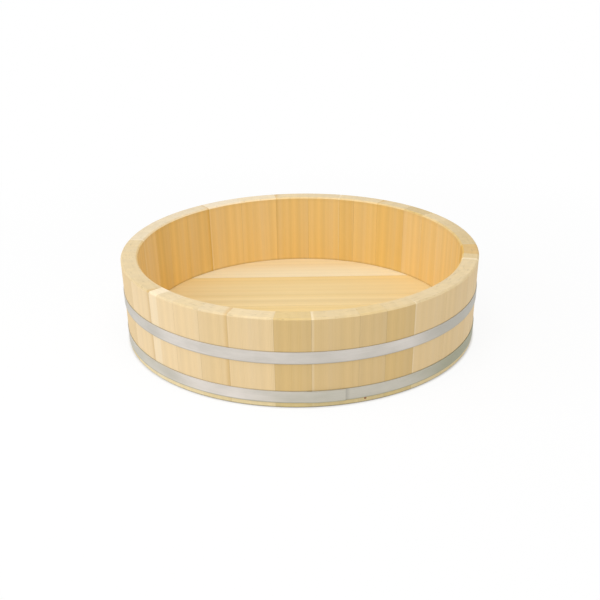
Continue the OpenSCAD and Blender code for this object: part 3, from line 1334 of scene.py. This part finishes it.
@dataclass
class Bottom:
    """The round bottom of edge-joined boards.

    Attributes:
        round_steps: Steps round its edge.
        eased: Rounding of every edge.
        dowel_hole: Diameter of a dowel's hole.
        dowel_reach: Length of a dowel's hole.
        dowel_pitch: Distance between neighbouring dowels.
        dowel_count: Dowels in each joint.
    """

    round_steps: int = 240
    eased: float = 0.0004
    dowel_hole: float = 0.0051
    dowel_reach: float = 0.041
    dowel_pitch: float = 0.110
    dowel_count: int = 3

    def board_nodes(self) -> list[str]:
        """List the boards' solids from the back to the front."""
        return sorted(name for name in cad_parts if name.startswith("bottom_board_"))

    def shape_disc(self, low: float, radius: float) -> Piece:
        """Shape the flat disc that every board is cut from.

        Args:
            low: Height of the underside.
            radius: Radius of the bottom.

        Returns:
            The disc.
        """
        disc = lay_out(
            bpy.ops.mesh.primitive_circle_add,
            vertices=self.round_steps,
            radius=radius,
            fill_type="NGON",
            location=(0.0, 0.0, low),
        )
        set_place(disc)
        return disc

    def cut_board(self, disc: Piece, name: str, near: float, far: float, thickness: float) -> Piece:
        """Cut one board from a copy of the disc and give it its thickness.

        Args:
            disc: The disc.
            name: Name of the board.
            near: Place of its front edge.
            far: Place of its back edge.
            thickness: Its thickness.

        Returns:
            The board, its edges eased.
        """
        board = copy_of(disc, name)
        open_mesh(board)
        bpy.ops.mesh.bisect(plane_co=BACKWARDS * near, plane_no=BACKWARDS, clear_inner=True)
        bpy.ops.mesh.select_all(action="SELECT")
        bpy.ops.mesh.bisect(plane_co=BACKWARDS * far, plane_no=BACKWARDS, clear_outer=True)
        bpy.ops.mesh.select_all(action="SELECT")
        bpy.ops.mesh.extrude_region_move(TRANSFORM_OT_translate={"value": UP * thickness})
        close_up()
        ease_edges(board, self.eased)
        return board

    def dowel_holes(self, joint: float, height: float) -> list[Hole]:
        """Place the holes for the dowels of one joint.

        Args:
            joint: Front-to-back place of the joint.
            height: Height of the dowels.

        Returns:
            The holes.
        """
        holes = []
        for number in range(self.dowel_count):
            along_joint = (number - (self.dowel_count - 1) / 2.0) * self.dowel_pitch
            middle = Vector((along_joint, joint, height))
            holes.append(Hole(middle, BACKWARDS, self.dowel_hole, self.dowel_reach))
        return holes

    def sawn(self, number: int) -> Sawn:
        """Choose how one board was sawn.

        Args:
            number: Number of the board, from 1 at the back.

        Returns:
            The way that it was sawn.
        """
        choices = (
            Sawn(0.16, 0.05, 0.3, Tone.WASHED, sap_edge=0.052),
            Sawn(0.20, 0.06, 1.7, Tone.PLAIN, heart_edge=0.042),
            Sawn(0.18, -0.05, 2.9, Tone.PLAIN, heart_edge=0.045),
            Sawn(-0.15, 0.07, 4.1, Tone.PLAIN),
            Sawn(0.14, 0.04, 5.3, Tone.PALE),
        )
        return choices[number - 1]

    def build(self, finish: Material) -> None:
        """Make every board and hand it over.

        Args:
            finish: The boards' wood.
        """
        boxes = {node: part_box(node) for node in self.board_nodes()}
        low = min(box[0][2] for box in boxes.values())
        high = max(box[1][2] for box in boxes.values())
        radius = max(box[1][1] for box in boxes.values())
        half_way = (low + high) / 2.0
        disc = self.shape_disc(low, radius)
        last = len(boxes)
        for number, (node, box) in enumerate(boxes.items(), start=1):
            near, far = float(box[0][1]), float(box[1][1])
            board = self.cut_board(disc, f"{node}_wood", near, far, high - low)
            joints = [place for place, is_joint in ((near, number < last), (far, number > 1)) if is_joint]
            drill(board, [hole for joint in joints for hole in self.dowel_holes(joint, half_way)])
            smooth(board)
            middle = Vector((0.0, (near + far) / 2.0, half_way))
            on_end = np.zeros(len(board.data.vertices), dtype=bool)
            self.sawn(number).mark(board, middle, (BACKWARDS, UP, ACROSS), (far - near) / 2.0, on_end)
            self.mark_faces(board, joints, high)
            hand_over(board, "bottom_wood", finish, node)
        bpy.data.objects.remove(disc)

    def mark_faces(self, board: Piece, joints: list[float], high: float) -> None:
        """Write on a board which points face into the tub and which lie in the joints.

        Args:
            board: The board.
            joints: Front-to-back places of its joints.
            high: Height of its upper face.
        """
        points = points_of(board)
        in_joint = np.zeros(len(points))
        for joint in joints:
            in_joint = np.maximum(in_joint, np.abs(points[:, 1] - joint) < HAIR)
        write_on(board, "inside", (points[:, 2] > high - HAIR).astype(float))
        write_on(board, "joint", in_joint)


@dataclass
class Hoop:
    """A flat steel band with lapped ends.

    Attributes:
        node: The solid that it replaces.
        wall: The wall that it holds.
        lap_end: Direction of its outer end.
        width: Width of the band.
        gauge: Thickness of the band.
        gap: Clearance to the staves.
        lap: Length over which the ends overlap.
        climb: Length over which the outer end climbs onto the inner one.
        steps: Steps round the tub.
        eased: Rounding of its edges.
    """

    node: str
    wall: Wall
    lap_end: float
    width: float = 0.023
    gauge: float = 0.0012
    gap: float = 0.0001
    lap: float = 0.060
    climb: float = 0.012
    steps: int = 300
    eased: float = 0.00025

    def shape_strip(self, low: float) -> Piece:
        """Spin an upright edge once round the tub and on over its own start.

        Args:
            low: Height of the band's lower edge.

        Returns:
            The open strip.
        """
        radius = self.wall.outside(low) + self.gap
        lean = self.wall.outside(low + self.width) - self.wall.outside(low)
        half = self.width / 2.0
        strip = lay_out(
            bpy.ops.mesh.primitive_plane_add,
            size=self.width,
            location=(radius + half, 0.0, low + half),
            rotation=(math.pi / 2.0, 0.0, 0.0),
        )
        strip.name = f"{self.node}_band"
        set_place(strip)
        open_mesh(strip)
        pick(strip, Element.POINT, lambda place: place.x > radius + half)
        bpy.ops.mesh.delete(type="VERT")
        pick(strip, Element.POINT, lambda place: place.z > low + half)
        bpy.ops.transform.translate(value=(lean, 0.0, 0.0))
        bpy.ops.mesh.select_all(action="SELECT")
        turn = 2.0 * math.pi + self.lap / radius
        bpy.ops.mesh.spin(steps=self.steps, angle=-turn, center=MIDDLE, axis=UP)
        self.lift_end(strip, turn, radius)
        close_mesh()
        strip.rotation_euler.z = self.lap_end - turn
        set_place(strip)
        return strip

    def lift_end(self, strip: Piece, turn: float, radius: float) -> None:
        """Lift the strip's second end clear of its first, in edit mode.

        Args:
            strip: The strip, spun from the X axis.
            turn: Angle that it was spun through.
            radius: Its radius.
        """
        climb_turn = self.climb / radius
        climb_from = 2.0 * math.pi - climb_turn
        for row in range(self.steps + 1):
            share = min(1.0, (turn * row / self.steps - climb_from) / climb_turn)
            if share <= 0.0:
                continue
            bpy.ops.mesh.select_all(action="DESELECT")
            shape = bmesh.from_edit_mesh(strip.data)
            shape.verts.ensure_lookup_table()
            for point in (shape.verts[2 * row], shape.verts[2 * row + 1]):
                point.select_set(True)
            bmesh.update_edit_mesh(strip.data)
            grow = 1.0 + share * (self.gauge + self.gap) / radius
            bpy.ops.transform.resize(value=(grow, grow, 1.0), center_override=MIDDLE)

    def build(self, finish: Material) -> None:
        """Make the hoop and hand it over.

        Args:
            finish: The steel.
        """
        low = float(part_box(self.node)[0][2])
        strip = self.shape_strip(low)
        face = strip.data.polygons[0]
        is_outward = face.normal.dot(face.center) > 0.0
        work_in(strip, "SOLIDIFY", thickness=self.gauge, offset=1.0 if is_outward else -1.0)
        ease_edges(strip, self.eased)
        smooth(strip)
        hand_over(strip, "hoop_steel", finish, self.node)


@dataclass
class HoopNails:
    """The nails under the lower hoop.

    Attributes:
        wall: The wall that they are driven into.
        count: Number of nails.
        first: Direction of the first one.
        height: Height of the nails.
        head: Diameter of a head.
        head_rise: Thickness of a head.
        crown: Outline of a head, as shares of its thickness and of its diameter.
        crown_sharp: Angle between faces from which an edge of a nail shades sharp.
        shank: Diameter of a shank.
        tip: Radius of its blunt tip.
        length: Length of a shank.
        point: Length of its point.
        gap: Clearance round a shank in its hole.
    """

    wall: Wall
    count: int = 3
    first: float = math.radians(-71.5)
    height: float = 0.0082
    head: float = 0.0044
    head_rise: float = 0.001
    crown: tuple[tuple[float, float], ...] = (
        (0.0, 0.50),
        (0.35, 0.50),
        (0.70, 0.44),
        (0.92, 0.30),
        (1.0, 0.12),
    )
    crown_sharp: float = math.radians(40.0)
    shank: float = 0.002
    tip: float = 0.0003
    length: float = 0.016
    point: float = 0.004
    gap: float = 0.0001

    def directions(self) -> list[float]:
        """List the nails' directions round the tub."""
        return [self.first + 2.0 * math.pi * number / self.count for number in range(self.count)]

    def holes_between(self, start: float, end: float) -> list[Hole]:
        """Place the holes for the nails that fall between two joints.

        Args:
            start: Angle of the first joint.
            end: Angle of the second joint.

        Returns:
            The holes, which run out past the wall's face.
        """
        holes = []
        lean = self.wall.taper / self.wall.height
        depth = self.length + self.gap
        past = self.head / 2.0
        for direction in self.directions():
            if abs(half_turn(direction - (start + end) / 2.0)) > (end - start) / 2.0:
                continue
            outward = (facing(direction) - UP * lean).normalized()
            foot = facing(direction) * self.wall.outside(self.height)
            middle = foot + UP * self.height + outward * (past - depth) / 2.0
            holes.append(Hole(middle, outward, self.shank + 2.0 * self.gap, depth + past))
        return holes

    def shape_nail(self) -> Piece:
        """Shape one nail on the X axis, point inwards.

        Returns:
            The nail, its head against the wall.
        """
        level, spread = -self.length, self.tip
        nail = lay_out(
            bpy.ops.mesh.primitive_circle_add,
            vertices=DRILL_STEPS,
            radius=spread,
            fill_type="NGON",
            location=(0.0, 0.0, level),
        )
        set_place(nail)
        open_mesh(nail)
        shank = [(self.point - self.length, self.shank / 2.0), (0.0, self.shank / 2.0)]
        crown = [(self.head_rise * rise, self.head * reach) for rise, reach in self.crown]
        for height, reach in shank + crown:
            bpy.ops.mesh.extrude_region_move(TRANSFORM_OT_translate={"value": (0.0, 0.0, height - level)})
            grow = reach / spread
            bpy.ops.transform.resize(value=(grow, grow, 1.0), center_override=(0.0, 0.0, height))
            level, spread = height, reach
        close_up()
        lean = math.atan(self.wall.taper / self.wall.height)
        nail.rotation_euler = (0.0, math.pi / 2.0 + lean, 0.0)
        nail.location = (self.wall.outside(self.height), 0.0, self.height)
        set_place(nail)
        bpy.ops.object.shade_smooth_by_angle(angle=self.crown_sharp)
        return nail

    def build(self, finish: Material) -> None:
        """Make the nails and hand them over.

        Args:
            finish: The brass.
        """
        pattern = self.shape_nail()
        nails = []
        for number, direction in enumerate(self.directions(), start=1):
            nail = copy_of(pattern, f"hoop_nail_{number}")
            nail.rotation_euler.z = direction
            set_place(nail)
            nails.append(nail)
        bpy.data.objects.remove(pattern)
        piece = join_up(nails)
        piece.name = "hoop_nails_brass"
        hand_over(piece, "nail_brass", finish, "hoop_nails")


@dataclass
class Pegs:
    """The hidden bamboo pegs and dowels, which keep the shape of their solids.

    Attributes:
        nodes: Names of those solids.
    """

    nodes: tuple[str, ...] = ("stave_pegs", "bottom_dowels")

    def build(self, finish: Material) -> None:
        """Give each solid its finish.

        Args:
            finish: The bamboo.
        """
        for node in self.nodes:
            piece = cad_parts[node]
            for slot in piece.material_slots:
                slot.material = finish
            log.info("%s: dressed in %s", node, finish.name)


# The studio

@dataclass
class Studio:
    """White floor, soft light and the camera.

    Attributes:
        floor_size: Side of the floor, in metres.
        floor_paint: Colour of the floor.
        floor_white: Share of plain white in what is seen of the floor near the tub.
        white_from: Distance from the tub's middle from which that share rises, in metres.
        white_to: Distance where the floor is plain white, in metres.
        foot_white: Share of that white right beside the foot; the lower share shows the real contact shadow
            and paints a faint ring of shade.
        foot_radius: Radius of the foot.
        foot_soft: Width over which the floor beside the foot grows white.
        sky: Strength of the light from all round.
        lamps: Each soft lamp's name, place, side in metres and power in watts.
        lens: Focal length, in millimetres.
        sensor: Width of the sensor, in millimetres.
        clip_end: How far the camera sees, in metres.
        distance: From the camera to its target, in metres.
        elevation: Angle of the camera above the floor.
        roll: Tilt of the camera.
        target: What the camera looks at.
    """

    floor_size: float = 30.0
    floor_paint: Colour = (0.92, 0.92, 0.92, 1.0)
    floor_white: float = 0.88
    white_from: float = 0.5
    white_to: float = 1.4
    foot_white: float = 0.35
    foot_radius: float = 0.355
    foot_soft: float = 0.006
    sky: float = 0.55
    lamps: tuple[tuple[str, Vector, float, float], ...] = (
        ("key_lamp", Vector((-1.9, -2.2, 2.6)), 2.0, 20.0),
        ("top_lamp", Vector((0.0, -1.0, 3.2)), 2.6, 46.0),
        ("left_lamp", Vector((-2.6, -0.4, 1.6)), 1.8, 14.0),
        ("right_lamp", Vector((2.6, -1.2, 1.6)), 1.8, 4.0),
    )
    lens: float = 56.81
    sensor: float = 36.0
    clip_end: float = 100.0
    distance: float = 1.976
    elevation: float = math.radians(23.46)
    roll: float = math.radians(-0.822)
    target: Vector = Vector((-0.00081, 0.0, 0.05348))

    def seen_ray(self, graph: Graph) -> Socket:
        """Say whether a ray comes from the camera, a reflection or a clear surface.

        Args:
            graph: The nodes of the floor or the sky.

        Returns:
            The socket with 1 for such a ray.
        """
        rays = graph.node("ShaderNodeLightPath", {}).outputs
        mirrored = graph.math("MAXIMUM", rays["Is Glossy Ray"], rays["Is Transmission Ray"])
        return graph.math("MAXIMUM", rays["Is Camera Ray"], mirrored)

    def lay_floor(self) -> None:
        """Lay a pale floor that reads white, keeps a faint shadow and has a faint ring of painted shade round
        the foot.
        """
        floor = lay_out(bpy.ops.mesh.primitive_plane_add, size=self.floor_size)
        floor.name = "studio_floor"
        graph = Graph(bpy.data.materials.new("studio_floor_white"))
        paint = graph.node("ShaderNodeBsdfDiffuse", {"Color": self.floor_paint})
        white = graph.node("ShaderNodeEmission", {})
        away = graph.length(graph.place())
        far = graph.step(away, self.white_from, self.white_to, self.floor_white, 1.0)
        # Beside the foot less white is mixed in, so the real contact shadow shows more and a faint ring of
        # painted shade lies round it.
        foot_end = self.foot_radius + self.foot_soft
        near = graph.step(away, self.foot_radius, foot_end, self.foot_white, 1.0)
        share = graph.product(self.seen_ray(graph), far, near)
        shaders = {0: share, 1: paint.outputs[0], 2: white.outputs[0]}
        graph.end_in(graph.node("ShaderNodeMixShader", shaders))
        floor.data.materials.append(graph.owner)

    def light_sky(self) -> None:
        """Light the object softly from all round, before a white background."""
        world = bpy.data.worlds.new("studio_sky")
        bpy.context.scene.world = world
        graph = Graph(world)
        strength = graph.between(self.seen_ray(graph), self.sky, 1.0)
        sky = graph.node("ShaderNodeBackground", {"Color": (1.0, 1.0, 1.0, 1.0), "Strength": strength})
        graph.end_in(sky, "ShaderNodeOutputWorld")

    def hang_lamp(self, name: str, place: Vector, size: float, power: float) -> None:
        """Hang a large square lamp that faces the tub.

        Args:
            name: Name of the lamp.
            place: Where it hangs.
            size: Its side, in metres.
            power: Its power, in watts.
        """
        lamp = bpy.data.lights.new(name, "AREA")
        lamp.size = size
        lamp.energy = power
        holder = bpy.data.objects.new(name, lamp)
        holder.location = place
        holder.visible_camera = False
        holder.rotation_euler = (self.target - place).to_track_quat("-Z", "Y").to_euler()
        bpy.context.scene.collection.objects.link(holder)

    def set_camera(self) -> None:
        """Stand the camera at the photograph's angle."""
        back = Vector((0.0, -math.cos(self.elevation), math.sin(self.elevation)))
        upright = back.cross(ACROSS)
        right = ACROSS * math.cos(self.roll) + upright * math.sin(self.roll)
        rise = upright * math.cos(self.roll) - ACROSS * math.sin(self.roll)
        lens = bpy.data.cameras.new("photo_camera")
        lens.lens = self.lens
        lens.sensor_width = self.sensor
        lens.clip_end = self.clip_end
        camera = bpy.data.objects.new("photo_camera", lens)
        turn = Matrix((right, rise, back)).transposed().to_4x4()
        camera.matrix_world = Matrix.Translation(self.target + back * self.distance) @ turn
        bpy.context.scene.collection.objects.link(camera)
        bpy.context.scene.camera = camera

    def build(self) -> None:
        """Set up the floor, the light and the camera."""
        bpy.context.scene.view_settings.view_transform = "Standard"
        self.lay_floor()
        self.light_sky()
        for name, place, size, power in self.lamps:
            self.hang_lamp(name, place, size, power)
        self.set_camera()


def main() -> None:
    """Build the tub's pieces in order, then the studio."""
    logging.basicConfig(level=logging.INFO, format="%(name)s: %(message)s")
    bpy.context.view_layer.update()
    wall = Wall()
    upper = Hoop("upper_hoop", wall, math.radians(96.0))
    lower = Hoop("lower_hoop", wall, math.radians(-77.5))
    hoop_edges = tuple(float(corner[2]) for hoop in (upper, lower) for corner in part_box(hoop.node))
    stave_wood = BareWood(
        name="stave_wood",
        early=(0.82, 0.62, 0.345, 1.0),
        late=(0.66, 0.45, 0.21, 1.0),
        sap=(0.90, 0.75, 0.51, 1.0),
        heart=(0.68, 0.45, 0.18, 1.0),
        ring=0.0022,
        inside_bounce_light=1.05,
        inside_bounce_strength=1.22,
        corner_shade_strength=1.03,
        stain_and_shade_at=hoop_edges,
        corner_at=float(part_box("bottom_board_1")[1][2]),
        rim_at=wall.height,
        foot_to=float(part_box(lower.node)[0][2]),
    )
    bottom_wood = BareWood(
        name="bottom_wood",
        early=(0.815, 0.643, 0.340, 1.0),
        late=(0.70, 0.50, 0.22, 1.0),
        sap=(0.87, 0.805, 0.58, 1.0),
        heart=(0.80, 0.59, 0.25, 1.0),
        ring=0.0030,
        ring_show=0.30,
        sap_show=0.50,
        heart_show=0.42,
        sap_soft=0.030,
        inside_streaks=0.11,
    )
    # The grey sides of each hoop, darker on the lower one, are painted shade.
    steels = (
        (upper, ((-25.0, 0.75), (-85.0, 0.25), (-160.0, 0.50)), BrushedSteel.side_shade),
        (lower, ((-25.0, 0.95), (-75.0, 0.42), (-155.0, 0.38)), (0.32, 0.325, 0.21, 1.0)),
    )
    nails = HoopNails(wall)
    wall.build(stave_wood.make(), nails)
    Bottom().build(bottom_wood.make())
    for hoop, sides, side_shade in steels:
        steel = BrushedSteel(
            name=f"{hoop.node}_steel",
            shaded_sides=sides,
            edges=hoop_edges,
            low_edges=hoop_edges[0::2],
            lap_end=hoop.lap_end,
            side_shade=side_shade,
        )
        hoop.build(steel.make())
    nails.build(TARNISHED_BRASS.make())
    Pegs().build(BAMBOO.make())
    Studio().build()


if __name__ == "__main__":
    main()
